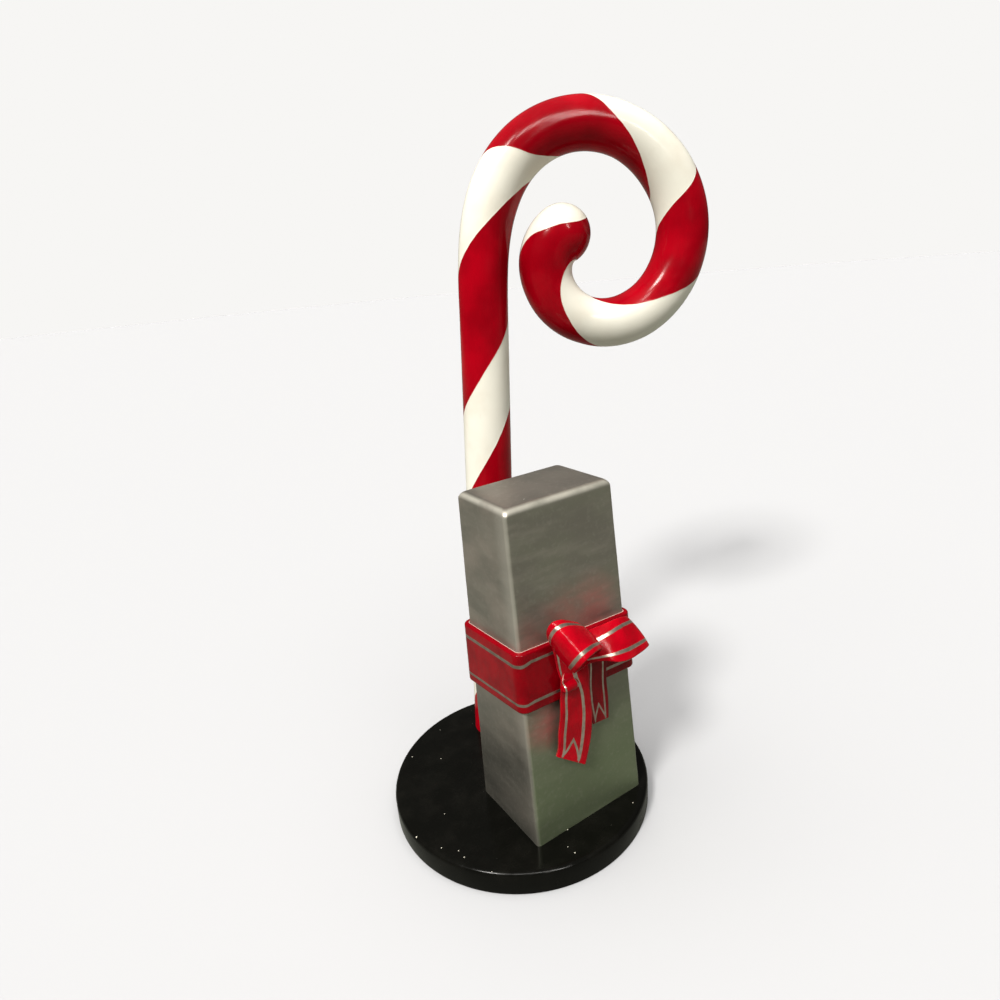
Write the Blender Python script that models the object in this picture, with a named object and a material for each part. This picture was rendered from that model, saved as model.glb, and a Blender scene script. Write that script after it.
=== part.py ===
"""Candy cane display figure: a moulded cane and a tall gift box with a bow, on a round base.

Units are metres, +Z is up, and the origin is at the centre of the base's underside.
The box's front face looks along -Y and carries the bow.
"""
import math

import bmesh
import bpy
from mathutils import Vector

GAP = 0.0004

# Round base
BASE_RADIUS = 0.352
BASE_THICKNESS = 0.062
BASE_TOP_ROUND = 0.012
BASE_SIDES = 72

# Gift box, wider at the foot; half sizes and centres of its foot and its top
BOX_HEIGHT = 0.865
BOX_FOOT_HALF = Vector((0.171, 0.124))
BOX_FOOT_CENTRE = Vector((0.047, -0.129))
BOX_TOP_HALF = Vector((0.1497, 0.0978))
BOX_TOP_CENTRE = Vector((0.0314, -0.119))
BOX_TOP_ROUND = 0.018
BOX_CORNER_ROUND = 0.010
ROUND_STEPS = 5

# Ribbon band round the box. Its heights are those at the front left corner, and each edge
# drops by its own share of the way to the right and to the back.
BAND_TOP = 0.5975
BAND_TOP_DROP = Vector((0.036, 0.056))
BAND_BOTTOM = 0.446
BAND_BOTTOM_DROP = Vector((0.038, 0.104))
BAND_THICKNESS = 0.013
BAND_ROUND = 0.005
BAND_ROUND_STEPS = 3
CUTTER_MARGIN = 0.1

# Cane: a leaning stem, then a curl whose bends are given at equal steps along it
STEM_FOOT = Vector((0.060, 0.2149, BASE_THICKNESS))
STEM_LEAN = Vector((0.0928, 0.0342, 1.0)).normalized()
STEM_LENGTH = 1.0936
TUBE_RADIUS = 0.0651
CURL_HEADING = math.radians(26.0)
CURL_LENGTH = 1.840
CURL_BENDS = (0.0, 0.0, 1.15, 2.82, 4.13, 3.93, 3.82, 3.47, 4.22, 4.05, 4.96, 5.77, 7.05, 12.2)
CURL_RADII = (0.0652, 0.0652, 0.0662, 0.0686, 0.0677, 0.0650, 0.0640, 0.0682, 0.0689, 0.0689,
              0.0675, 0.0630, 0.0677, 0.0775)
CURL_STEP = 0.026
TIP_RINGS = 6
TIP_END = 6.35
STEM_SUNK = 0.02
TUBE_RESOLUTION = 14
WELD = 0.0001

# Bow on the front face. A place is (x, z, distance out of the face), and each ribbon station
# holds its inner and its outer rim.
LEFT_LOOP = (
    ((0.028, 0.629, 0.036), (0.047, 0.583, 0.089)),
    ((-0.009, 0.658, 0.052), (0.015, 0.603, 0.114)),
    ((-0.044, 0.678, 0.062), (-0.017, 0.606, 0.126)),
    ((-0.067, 0.676, 0.060), (-0.038, 0.595, 0.124)),
    ((-0.072, 0.652, 0.046), (-0.042, 0.571, 0.106)),
    ((-0.053, 0.614, 0.026), (-0.028, 0.546, 0.079)),
    ((-0.006, 0.580, 0.016), (0.027, 0.524, 0.046)),
    ((0.037, 0.585, 0.018), (0.064, 0.530, 0.039)),
)
RIGHT_LOOP = (
    ((0.040, 0.598, 0.030), (0.045, 0.532, 0.054)),
    ((0.084, 0.605, 0.039), (0.066, 0.537, 0.079)),
    ((0.116, 0.608, 0.044), (0.095, 0.530, 0.093)),
    ((0.146, 0.603, 0.039), (0.136, 0.523, 0.091)),
    ((0.180, 0.588, 0.025), (0.210, 0.515, 0.067)),
    ((0.168, 0.576, 0.016), (0.197, 0.503, 0.031)),
    ((0.109, 0.572, 0.016), (0.118, 0.505, 0.024)),
    ((0.045, 0.575, 0.016), (0.050, 0.512, 0.028)),
)
LOOP_CROWN = 0.006
LOOP_RIM = 0.009
LOOP_POCKET = 0.028
LOOP_EASE = 0.002
LOOP_DRAFT = 0.0036
LOOP_SIDES = 26
CURVE_STEPS = 12
LOOP_SHARES = (0.025, 0.25, 0.5, 0.75, 0.975)

# Straight ribbon pieces: left and right edge at each station, from the top down
FLAP = (
    ((-0.050, 0.601, 0.030), (0.012, 0.585, 0.044)),
    ((-0.045, 0.575, 0.030), (0.012, 0.555, 0.044)),
    ((-0.037, 0.532, 0.025), (0.011, 0.528, 0.038)),
    ((-0.029, 0.498, 0.026), (0.010, 0.506, 0.030)),
)
LONG_TAIL = (
    ((-0.020, 0.520, 0.026), (0.050, 0.522, 0.028)),
    ((-0.034, 0.504, 0.034), (0.046, 0.492, 0.036)),
    ((-0.037, 0.482, 0.034), (0.043, 0.459, 0.037)),
    ((-0.037, 0.453, 0.028), (0.048, 0.422, 0.033)),
    ((-0.040, 0.409, 0.027), (0.052, 0.372, 0.028)),
    ((-0.048, 0.364, 0.025), (0.048, 0.322, 0.025)),
    ((-0.052, 0.325, 0.024), (0.036, 0.278, 0.024)),
    ((-0.060, 0.309, 0.025), (0.021, 0.245, 0.026)),
)
SHORT_TAIL = (
    ((0.053, 0.530, 0.022), (0.111, 0.520, 0.026)),
    ((0.050, 0.498, 0.026), (0.109, 0.485, 0.025)),
    ((0.046, 0.455, 0.025), (0.107, 0.440, 0.024)),
    ((0.049, 0.400, 0.021), (0.111, 0.384, 0.021)),
    ((0.061, 0.335, 0.016), (0.115, 0.328, 0.013)),
)
TAIL_THICKNESS = 0.009
TAIL_EASE = 0.3
KNOT_ENDS = ((-0.026, 0.487, 0.033), (-0.001, 0.489, 0.036))
KNOT_RADIUS = 0.015
KNOT_SIDES = 16
KNOT_RINGS = 10

RED = (0.55, 0.004, 0.012)


def clear_scene():
    for obj in list(bpy.data.objects):
        bpy.data.objects.remove(obj, do_unlink=True)


def material(name, colour, roughness, metallic=0.0):
    made = bpy.data.materials.new(name)
    made.use_nodes = True
    shader = made.node_tree.nodes["Principled BSDF"]
    shader.inputs["Base Color"].default_value = (*colour, 1.0)
    shader.inputs["Roughness"].default_value = roughness
    shader.inputs["Metallic"].default_value = metallic
    return made


def object_from_bmesh(name, bm, collection, finish=None, smooth_angle=35.0):
    bmesh.ops.recalc_face_normals(bm, faces=bm.faces)
    mesh = bpy.data.meshes.new(name)
    bm.to_mesh(mesh)
    bm.free()
    mesh.shade_smooth()
    mesh.set_sharp_from_angle(angle=math.radians(smooth_angle))
    obj = bpy.data.objects.new(name, mesh)
    collection.objects.link(obj)
    if finish:
        mesh.materials.append(finish)
    return obj


def box_section(z):
    """Centre and half size of the gift box at height z."""
    share = (z - BASE_THICKNESS) / BOX_HEIGHT
    centre = BOX_FOOT_CENTRE.lerp(BOX_TOP_CENTRE, share)
    half = BOX_FOOT_HALF.lerp(BOX_TOP_HALF, share)
    return centre, half


def front_face_point(place):
    """World position of a place given as (x, z, distance out of the front face)."""
    x, z, out = place
    centre, half = box_section(z)
    foot_y = BOX_FOOT_CENTRE.y - BOX_FOOT_HALF.y
    top_y = BOX_TOP_CENTRE.y - BOX_TOP_HALF.y
    slope = math.hypot(BOX_HEIGHT, top_y - foot_y) / BOX_HEIGHT
    return Vector((x, centre.y - half.y - out * slope, z))


def edge_rise(edge):
    return abs(edge.verts[0].co.z - edge.verts[1].co.z)


def round_edges(bm, edges, offset, segments):
    bmesh.ops.bevel(
        bm, geom=edges, offset=offset, segments=segments, profile=0.5, affect="EDGES")


def upright_block(low, high, outset, corner_round, drops=None):
    """Block that follows the gift box's sides, with rounded upright edges.

    Its two ends are level, or fall by the drops given for the low and the high end.
    """
    bm = bmesh.new()
    bmesh.ops.create_cube(bm, size=2.0)
    centre, half = box_section(high)
    front_left = centre - half
    for vert in bm.verts:
        upper = vert.co.z > 0
        across, along = vert.co.xy
        z = high if upper else low
        centre, half = box_section(z)
        if drops:
            corner = centre + Vector((across * half.x, along * half.y))
            z -= (corner - front_left).dot(drops[upper])
            centre, half = box_section(z)
        vert.co = (centre.x + across * (half.x + outset), centre.y + along * (half.y + outset), z)
    uprights = [e for e in bm.edges if edge_rise(e) > (high - low) / 2]
    round_edges(bm, uprights, corner_round, ROUND_STEPS)
    return bm


def make_base(collection, finish):
    bm = bmesh.new()
    bmesh.ops.create_cone(
        bm, cap_ends=True, segments=BASE_SIDES, radius1=BASE_RADIUS, radius2=BASE_RADIUS,
        depth=BASE_THICKNESS)
    bmesh.ops.translate(bm, verts=bm.verts, vec=(0, 0, BASE_THICKNESS / 2))
    rim = [e for e in bm.edges if min(v.co.z for v in e.verts) > BASE_THICKNESS / 2]
    round_edges(bm, rim, BASE_TOP_ROUND, ROUND_STEPS)
    return object_from_bmesh("base_disc", bm, collection, finish)


def round_top(bm, start):
    """Carry the block's lid up in steps, drawn in so that its edge is rounded."""
    centre, half = box_section(start)
    for step in range(1, ROUND_STEPS + 1):
        angle = math.pi / 2 * step / ROUND_STEPS
        z = start + BOX_TOP_ROUND * math.sin(angle)
        pull = BOX_TOP_ROUND * (1 - math.cos(angle))
        centre_after, half_after = box_section(z)
        half_after -= Vector((pull, pull))
        lid = max(bm.faces, key=lambda face: face.calc_center_median().z)
        raised = bmesh.ops.extrude_face_region(bm, geom=[lid])["geom"]
        bmesh.ops.delete(bm, geom=[lid], context="FACES_ONLY")
        for vert in (item for item in raised if isinstance(item, bmesh.types.BMVert)):
            side = vert.co.xy - centre
            x = centre_after.x + side.x + math.copysign(1, side.x) * (half_after.x - half.x)
            y = centre_after.y + side.y + math.copysign(1, side.y) * (half_after.y - half.y)
            vert.co = (x, y, z)
        centre, half = centre_after, half_after


def make_box(collection, finish):
    lid = BASE_THICKNESS + BOX_HEIGHT - BOX_TOP_ROUND
    bm = upright_block(BASE_THICKNESS + GAP, lid, 0.0, BOX_CORNER_ROUND)
    round_top(bm, lid)
    return object_from_bmesh("gift_box", bm, collection, finish)


def boolean(target, cutter, operation):
    modifier = target.modifiers.new(operation.lower(), "BOOLEAN")
    modifier.operation = operation
    modifier.object = cutter
    cutter.hide_render = True
    cutter.display_type = "WIRE"


def make_band(collection, cutters, finish):
    """Closed ring of ribbon, clear of the box all round."""
    drops = (BAND_BOTTOM_DROP, BAND_TOP_DROP)
    outer_round = BOX_CORNER_ROUND + BAND_THICKNESS
    outer = upright_block(BAND_BOTTOM, BAND_TOP, BAND_THICKNESS, outer_round, drops)
    rims = [e for e in outer.edges if edge_rise(e) < (BAND_TOP - BAND_BOTTOM) / 2]
    round_edges(outer, rims, BAND_ROUND, BAND_ROUND_STEPS)
    band = object_from_bmesh("ribbon_band", outer, collection, finish)
    inner = upright_block(
        BAND_BOTTOM - CUTTER_MARGIN, BAND_TOP + CUTTER_MARGIN, GAP, BOX_CORNER_ROUND)
    boolean(band, object_from_bmesh("band_cutter", inner, cutters), "DIFFERENCE")
    return band


def closed_curve(points, count):
    """The given number of points on a smooth closed curve through the points."""
    total = len(points)
    dense = []
    for index in range(total):
        p0, p1, p2, p3 = (points[(index + k) % total] for k in (-1, 0, 1, 2))
        for step in range(CURVE_STEPS):
            t = step / CURVE_STEPS
            dense.append(0.5 * (
                2 * p1 + (p2 - p0) * t + (2 * p0 - 5 * p1 + 4 * p2 - p3) * t ** 2
                + (3 * p1 - p0 - 3 * p2 + p3) * t ** 3))
    return [dense[round(k * len(dense) / count) % len(dense)] for k in range(count)]


def skin(bm, rings):
    """Side faces between rings of equal length, and a face over each end."""
    layers = [[bm.verts.new(point) for point in ring] for ring in rings]
    count = len(layers[0])
    for lower, upper in zip(layers, layers[1:]):
        for k in range(count):
            following = (k + 1) % count
            bm.faces.new((lower[k], lower[following], upper[following], upper[k]))
    bm.faces.new(reversed(layers[0]))
    bm.faces.new(layers[-1])


def inset(ring, distance):
    """The ring moved towards its own middle by about the distance."""
    middle = sum(ring, Vector()) / len(ring)
    return [p + (middle - p).normalized() * min(distance, (middle - p).length * 0.8) for p in ring]


def make_loop(name, stations, cutters):
    """Ribbon loop: a puffed form with a shallow pocket in each open end."""
    inner = [front_face_point(rims[0]) for rims in stations]
    outer = [front_face_point(rims[1]) for rims in stations]
    inner_ring = closed_curve(inner, LOOP_SIDES)
    outer_ring = closed_curve(outer, LOOP_SIDES)
    across = (sum(outer, Vector()) - sum(inner, Vector())) / len(inner)
    along = across.normalized()

    def section(share):
        ring = [a.lerp(b, share) for a, b in zip(inner_ring, outer_ring)]
        middle = sum(ring, Vector()) / len(ring)
        crown = LOOP_CROWN * (1 - (2 * share - 1) ** 2)
        return [p + (p - middle).normalized() * crown for p in ring]

    def open_end(share, inward):
        """Rings of one open end, from the bottom of its pocket out to its rim."""
        rim = section(share)
        floor = [p + along * inward for p in inset(rim, LOOP_RIM + LOOP_DRAFT)]
        return [floor, inset(rim, LOOP_RIM), inset(rim, LOOP_EASE)]

    rings = open_end(0.0, LOOP_POCKET)
    rings += [section(share) for share in LOOP_SHARES]
    rings += reversed(open_end(1.0, -LOOP_POCKET))
    bm = bmesh.new()
    skin(bm, rings)
    return object_from_bmesh(name, bm, cutters)


def make_strip(name, stations, thickness, collection, finish=None):
    """Flat ribbon of even thickness through its left and right edges, with eased edges."""
    lefts = [front_face_point(pair[0]) for pair in stations]
    rights = [front_face_point(pair[1]) for pair in stations]
    rings = []
    for index, (left, right) in enumerate(zip(lefts, rights)):
        before = max(index - 1, 0)
        after = min(index + 1, len(stations) - 1)
        down = (lefts[after] + rights[after]) - (lefts[before] + rights[before])
        across = (right - left).normalized()
        out = across.cross(down).normalized()
        if out.y > 0:
            out = -out
        ease = across * thickness * TAIL_EASE
        face = (left + ease, right - ease, right, right - ease, left + ease, left)
        depth = (0.0, 0.0, -0.5, -1.0, -1.0, -0.5)
        rings.append([p + out * thickness * d for p, d in zip(face, depth)])
    bm = bmesh.new()
    skin(bm, rings)
    return object_from_bmesh(name, bm, collection, finish)


def make_knot(name, cutters):
    start, end = (front_face_point(place) for place in KNOT_ENDS)
    bm = bmesh.new()
    bmesh.ops.create_uvsphere(
        bm, u_segments=KNOT_SIDES, v_segments=KNOT_RINGS, radius=KNOT_RADIUS)
    axis = end - start
    turn = Vector((0, 0, 1)).rotation_difference(axis)
    for vert in bm.verts:
        stretch = axis.length * vert.co.z / KNOT_RADIUS / 2
        vert.co = turn @ (vert.co + Vector((0, 0, stretch))) + (start + end) / 2
    return object_from_bmesh(name, bm, cutters)


def make_bow(collection, cutters, finish):
    """One moulded bow: the long tail joined with the other ribbon pieces."""
    bow = make_strip("bow", LONG_TAIL, TAIL_THICKNESS, collection, finish)
    pieces = [
        make_strip("short_tail", SHORT_TAIL, TAIL_THICKNESS, cutters),
        make_strip("flap", FLAP, TAIL_THICKNESS, cutters),
        make_knot("knot", cutters),
        make_loop("right_loop", RIGHT_LOOP, cutters),
        make_loop("left_loop", LEFT_LOOP, cutters),
    ]
    for piece in pieces:
        boolean(bow, piece, "UNION")
    return bow


def interpolate(values, share):
    place = share * (len(values) - 1)
    index = min(int(place), len(values) - 2)
    return values[index] + (values[index + 1] - values[index]) * (place - index)


def cane_centreline():
    """Points of the cane's middle line, with the tube's radius at each."""
    side = Vector((math.cos(CURL_HEADING), -math.sin(CURL_HEADING), 0.0))
    side = (side - STEM_LEAN * side.dot(STEM_LEAN)).normalized()
    points = [(STEM_FOOT - STEM_LEAN * STEM_SUNK, TUBE_RADIUS)]
    position = STEM_FOOT + STEM_LEAN * STEM_LENGTH
    points.append((position, TUBE_RADIUS))
    steps = round(CURL_LENGTH / CURL_STEP)
    step = CURL_LENGTH / steps
    turned = 0.0
    for index in range(steps):
        bend = interpolate(CURL_BENDS, (index + 0.5) / steps)
        turned += bend * step / 2
        heading = STEM_LEAN * math.cos(turned) + side * math.sin(turned)
        turned += bend * step / 2
        position = position + heading * step
        points.append((position, interpolate(CURL_RADII, (index + 1) / steps)))
    heading = STEM_LEAN * math.cos(turned) + side * math.sin(turned)
    end_radius = CURL_RADII[-1]
    for ring in range(1, TIP_RINGS + 1):
        angle = math.pi / 2 * ring / TIP_END
        place = position + heading * end_radius * math.sin(angle)
        points.append((place, end_radius * math.cos(angle)))
    return points


def make_cane(collection, finish):
    points = cane_centreline()
    curve = bpy.data.curves.new("cane_line", "CURVE")
    curve.dimensions = "3D"
    curve.bevel_depth = TUBE_RADIUS
    curve.bevel_resolution = TUBE_RESOLUTION
    curve.use_fill_caps = True
    spline = curve.splines.new("POLY")
    spline.points.add(len(points) - 1)
    for point, (place, radius) in zip(spline.points, points):
        point.co = (*place, 1.0)
        point.radius = radius / TUBE_RADIUS
    guide = bpy.data.objects.new("cane_line", curve)
    collection.objects.link(guide)
    bpy.context.view_layer.update()
    evaluated = guide.evaluated_get(bpy.context.evaluated_depsgraph_get())
    bm = bmesh.new()
    bm.from_mesh(bpy.data.meshes.new_from_object(evaluated))
    bpy.data.objects.remove(guide, do_unlink=True)
    bmesh.ops.remove_doubles(bm, verts=bm.verts, dist=WELD)
    cut = bmesh.ops.bisect_plane(
        bm, geom=bm.verts[:] + bm.edges[:] + bm.faces[:], plane_co=(0, 0, BASE_THICKNESS + GAP),
        plane_no=(0, 0, 1), clear_inner=True)
    rim = [item for item in cut["geom_cut"] if isinstance(item, bmesh.types.BMEdge)]
    bmesh.ops.contextual_create(bm, geom=rim)
    return object_from_bmesh("candy_cane", bm, collection, finish)


def main():
    clear_scene()
    parts = bpy.data.collections.new("candy_cane_display")
    cutters = bpy.data.collections.new("cutters")
    bpy.context.scene.collection.children.link(parts)
    bpy.context.scene.collection.children.link(cutters)
    make_base(parts, material("base_black", (0.012, 0.012, 0.011), 0.2))
    make_box(parts, material("box_silver", (0.17, 0.165, 0.15), 0.42, 0.75))
    make_band(parts, cutters, material("band_red", RED, 0.22))
    make_bow(parts, cutters, material("bow_red", RED, 0.22))
    make_cane(parts, material("cane_gloss", RED, 0.2))


main()
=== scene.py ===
import math

import bmesh
import bpy
from mathutils import Matrix, Vector, noise


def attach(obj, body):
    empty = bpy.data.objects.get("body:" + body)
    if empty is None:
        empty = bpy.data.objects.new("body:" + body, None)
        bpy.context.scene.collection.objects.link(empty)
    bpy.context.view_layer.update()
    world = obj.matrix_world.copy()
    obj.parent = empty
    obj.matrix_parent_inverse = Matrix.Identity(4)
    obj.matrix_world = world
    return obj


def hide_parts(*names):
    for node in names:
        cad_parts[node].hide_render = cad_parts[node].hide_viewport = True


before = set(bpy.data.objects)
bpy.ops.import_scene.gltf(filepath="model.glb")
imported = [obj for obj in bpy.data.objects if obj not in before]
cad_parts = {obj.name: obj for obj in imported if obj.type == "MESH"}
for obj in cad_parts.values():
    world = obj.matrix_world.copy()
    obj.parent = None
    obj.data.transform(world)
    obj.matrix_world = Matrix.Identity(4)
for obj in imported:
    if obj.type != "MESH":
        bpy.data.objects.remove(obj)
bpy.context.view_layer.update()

# Painted display figure of a candy cane that stands behind a gift box on a round base. All sizes
# are in metres, in the model's own frame.

# Meshes: the gap between pieces that touch, the distance under which two points become one,
# and the angle over which an edge shows as an edge
GAP = 0.0004
MERGE = 0.00001
SHARP_ANGLE = math.radians(50)

# Round base
BASE_RADIUS = 0.352
BASE_THICKNESS = 0.062
BASE_TOP_ROUND = 0.012
BASE_FOOT_ROUND = 0.002
BASE_SIDES = 224
BASE_TOP_STEPS = 12
BASE_FOOT_STEPS = 4
BASE_TOP_RINGS = (0.9, 0.6, 0.3)

# Gift box: its unevenness is the sum of waves, each with its fineness and its share
BOX_HEIGHT = 0.865
BOX_FOOT_HALF = Vector((0.171, 0.124))
BOX_FOOT_CENTRE = Vector((0.047, -0.129))
BOX_TOP_HALF = Vector((0.1497, 0.0978))
BOX_TOP_CENTRE = Vector((0.0314, -0.119))
BOX_TOP_ROUND = 0.018
BOX_CORNER_ROUND = 0.010
BOX_RINGS = 90
BOX_ROUND_STEPS = 10
BOX_CORNER_STEPS = 8
BOX_SIDE_STEPS = 24
BOX_LID_RINGS = (0.75, 0.5, 0.25)
BOX_UNEVEN = 0.0011
BOX_WAVES = ((9.0, 1.0), (31.0, 0.4))

# Ribbon band: how far it drops per metre to the right and to the back, and its lines' shares
# down it on the left side and on the front
BAND_TOP = 0.5975
BAND_TOP_DROP = Vector((0.036, 0.056))
BAND_BOTTOM = 0.446
BAND_BOTTOM_DROP = Vector((0.038, 0.104))
BAND_THICKNESS = 0.013
BAND_BACK = 1.5 * GAP
BAND_ROUND = 0.005
BAND_LEFT_LINES = (0.197, 0.862)
BAND_FRONT_LINES = (0.150, 0.835)
BAND_CORNER_STEPS = 10
BAND_SIDE_STEPS = 20
BAND_ROUND_STEPS = 7
BAND_FACE_STEPS = 14

# Cane: bends are turns in radians per metre and radii are the tube's, both at even steps along
# the curl
STEM_FOOT = Vector((0.060, 0.2149, BASE_THICKNESS))
STEM_LEAN = Vector((0.0928, 0.0342, 1.0)).normalized()
STEM_LENGTH = 1.0936
CURL_HEADING = math.radians(26.0)
CURL_LENGTH = 1.840
CURL_BENDS = (0.0, 0.0, 1.15, 2.82, 4.13, 3.93, 3.82, 3.47, 4.22, 4.05, 4.96, 5.77, 7.05, 12.2)
CURL_RADII = (0.0652, 0.0652, 0.0662, 0.0686, 0.0677, 0.0650, 0.0640, 0.0682, 0.0689, 0.0689,
              0.0675, 0.0630, 0.0677, 0.0775)
CANE_STEP = 0.007
CANE_SIDES = 96
CANE_TRIM = 0.0003
TIP_RINGS = 18

# Where the cream stripe turns red and where the red one turns cream: distance up the cane from
# its foot, and degrees round it, counted on from turn to turn
RED_STARTS = (
    (-0.03, -795), (0.50, -466), (0.958, -178), (1.027, -131), (1.119, -76), (1.209, -20),
    (1.40, 84), (1.585, 188), (1.620, 240), (1.647, 288), (1.677, 313), (1.722, 341),
    (1.93, 478), (2.117, 572), (2.143, 606), (2.160, 636), (2.178, 664), (2.206, 692),
    (2.241, 720), (2.44, 816), (2.622, 920), (2.689, 962), (2.761, 994), (2.835, 1032), (3.02, 1120),
)
RED_ENDS = (
    (-0.03, -609), (0.40, -355), (0.766, -142), (0.854, -93), (0.940, -48), (0.982, -23),
    (1.16, 80), (1.336, 190), (1.396, 231), (1.462, 273), (1.541, 312), (1.601, 342),
    (1.72, 452), (1.842, 576), (1.888, 618), (1.967, 656), (2.023, 678), (2.082, 699),
    (2.125, 719), (2.23, 825), (2.363, 944), (2.440, 992), (2.538, 1024), (2.629, 1050), (2.661, 1063),
    (2.77, 1170), (2.881, 1286), (2.908, 1320), (2.958, 1343), (3.02, 1356),
)

# Bow on the front face: places are (x, z, distance out of the face). A loop's stations go round
# it, each with its inner and its outer rim, and its lines are shares from the inner to the outer.
LEFT_LOOP = (
    ((0.028, 0.629, 0.036), (0.047, 0.583, 0.089)),
    ((-0.009, 0.658, 0.052), (0.015, 0.603, 0.114)),
    ((-0.044, 0.678, 0.062), (-0.017, 0.606, 0.126)),
    ((-0.067, 0.676, 0.060), (-0.038, 0.595, 0.124)),
    ((-0.072, 0.652, 0.046), (-0.042, 0.571, 0.106)),
    ((-0.053, 0.614, 0.026), (-0.028, 0.546, 0.079)),
    ((-0.006, 0.580, 0.016), (0.027, 0.524, 0.046)),
    ((0.037, 0.585, 0.018), (0.064, 0.530, 0.039)),
)
RIGHT_LOOP = (
    ((0.040, 0.598, 0.030), (0.045, 0.532, 0.054)),
    ((0.084, 0.605, 0.039), (0.066, 0.537, 0.079)),
    ((0.116, 0.608, 0.044), (0.095, 0.530, 0.093)),
    ((0.146, 0.603, 0.039), (0.136, 0.523, 0.091)),
    ((0.180, 0.588, 0.025), (0.210, 0.515, 0.067)),
    ((0.168, 0.576, 0.016), (0.197, 0.503, 0.031)),
    ((0.109, 0.572, 0.016), (0.118, 0.505, 0.024)),
    ((0.045, 0.575, 0.016), (0.050, 0.512, 0.028)),
)
LEFT_LINES = ((0.15, 0.85),) * len(LEFT_LOOP)
RIGHT_LINES = ((0.45, 0.88), (0.36, 0.85), (0.25, 0.76), (0.20, 0.74), (0.19, 0.79),
               (0.19, 0.79), (0.25, 0.76), (0.36, 0.85))
LOOP_CROWN = 0.0052
LOOP_WALL = 0.006
LOOP_WALL_LIMIT = 0.45
LOOP_BULGE = 0.5
LOOP_TRIM = 0.010
LOOP_AROUND = 120
LOOP_ACROSS = 26
LOOP_RIM_STEPS = 6

# Straight ribbon pieces: left and right edge at each station, from the top down. The heights
# of the face's hollow and its edges are shares of the lip along each side.
FLAP = (
    ((-0.050, 0.601, 0.030), (0.012, 0.585, 0.044)),
    ((-0.045, 0.575, 0.030), (0.012, 0.555, 0.044)),
    ((-0.037, 0.532, 0.025), (0.011, 0.528, 0.038)),
    ((-0.029, 0.498, 0.026), (0.010, 0.506, 0.030)),
)
LONG_TAIL = (
    ((-0.020, 0.520, 0.026), (0.050, 0.522, 0.028)),
    ((-0.034, 0.504, 0.034), (0.046, 0.492, 0.036)),
    ((-0.037, 0.482, 0.034), (0.043, 0.459, 0.037)),
    ((-0.037, 0.453, 0.028), (0.048, 0.422, 0.033)),
    ((-0.040, 0.409, 0.027), (0.052, 0.372, 0.028)),
    ((-0.048, 0.364, 0.025), (0.048, 0.322, 0.025)),
    ((-0.052, 0.325, 0.024), (0.036, 0.278, 0.024)),
    ((-0.060, 0.309, 0.025), (0.021, 0.245, 0.026)),
)
SHORT_TAIL = (
    ((0.053, 0.530, 0.022), (0.111, 0.520, 0.026)),
    ((0.050, 0.498, 0.026), (0.109, 0.485, 0.025)),
    ((0.046, 0.455, 0.025), (0.107, 0.440, 0.024)),
    ((0.049, 0.400, 0.021), (0.111, 0.384, 0.021)),
    ((0.061, 0.335, 0.016), (0.115, 0.328, 0.013)),
)
FLAP_LINES = ((0.13, 0.95),) * len(FLAP)
LONG_LINES = ((0.02, 0.34), (0.02, 0.48), (0.175, 0.66)) + ((0.175, 0.71),) * (len(LONG_TAIL) - 3)
SHORT_LINES = ((0.17, 0.79),) * len(SHORT_TAIL)
STRIP_THICKNESS = 0.009
STRIP_BACK_INSET = 0.003
STRIP_LIP = 0.0022
STRIP_LIP_SHARE = 0.10
STRIP_HOLLOW = -0.35
STRIP_EDGE = -0.9
STRIP_ACROSS = 28
STRIP_STATION_STEPS = 8

# Knot: a roll between two places, squarer at its ends the higher its power, with folds along it
# that twist a little
KNOT_ENDS = ((-0.037, 0.485, 0.033), (0.010, 0.488, 0.036))
KNOT_REACH = 0.998
KNOT_RADIUS = 0.0128
KNOT_POWER = 5
KNOT_LINES = (0.14, 0.86)
KNOT_FOLDS = 5
KNOT_FOLD = 0.06
KNOT_TWIST = 1.5
KNOT_AROUND = 48
KNOT_ALONG = 28
KNOT_PLACE_STEP = 0.002

# Texture places on ribbon. Across it, the painted lines lie at the two values here. Along it,
# a tail has the metres left to its end, other ribbon about 1, and the band's top inner edge 2,
# where a pale bead of painted highlight runs along that edge.
LINE_PLACES = (0.2, 0.8)
BACK_PLACE = 0.5
PLAIN_RIBBON = 1.0
HIGHLIGHT_BEAD = 2.0
# Along-places over which the pale bead of painted highlight fades in
HIGHLIGHT_FROM, HIGHLIGHT_FULL = 1.72, 1.84

# Zigzag at a tail's end: height of its middle, drop per share across, half width of its line
# where it is full and where it is gone, and how far from the middle it goes
PEAK_HEIGHT = 0.054
PEAK_DROP = 0.150
PEAK_LINE = (0.0055, 0.0072)
PEAK_REACH = 0.325

# Stripe's edge, in turns round the cane: softness, width of the brushed rim, width of the ridge
EDGE_SOFT = 0.0018
EDGE_RIM = 0.0045
EDGE_RIDGE = 0.010

# Cane and ribbon colours
RED = (0.36, 0.0002, 0.0065)
DEEP_RED = (0.25, 0.0001, 0.0045)
CREAM = (0.80, 0.775, 0.68)
DULL_CREAM = (0.74, 0.70, 0.60)
CREAM_STREAK = (0.62, 0.58, 0.50)
STRIPE_RIM = (0.78, 0.52, 0.45)
SILVER_LINE = (0.40, 0.325, 0.26)
PALE_LINE = (0.56, 0.48, 0.40)
# Painted highlight: the pale bead along the band's top inner edge
BEAD_HIGHLIGHT = (0.70, 0.50, 0.44)

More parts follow.
